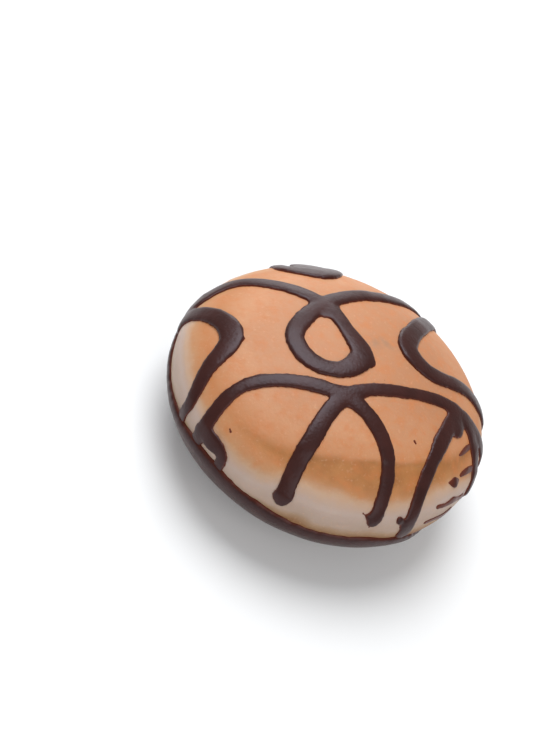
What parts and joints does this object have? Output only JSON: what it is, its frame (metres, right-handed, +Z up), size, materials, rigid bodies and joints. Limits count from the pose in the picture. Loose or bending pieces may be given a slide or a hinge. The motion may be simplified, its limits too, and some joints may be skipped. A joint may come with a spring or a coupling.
{
  "type": "chocolate doughnut",
  "caption": "Round chocolate doughnut without a hole: a fried dough dome with a chocolate-dipped underside and dark chocolate piped over the top in rows of hanging loops.",
  "frame": {"origin": "centre of the flat underside of the chocolate coat, on the surface the doughnut lies on", "axes": "+Z up from the underside to the dome, +X along the rows of piped chocolate"},
  "size_m": [0.0891, 0.0853, 0.0411],
  "materials": {
    "crust": "fried dough crust, satin",
    "dark_chocolate": "set dark chocolate, satin"
  },
  "bodies": {
    "root": {"fried_dough": "crust", "chocolate_coat": "dark_chocolate"}
  },
  "joints": []
}
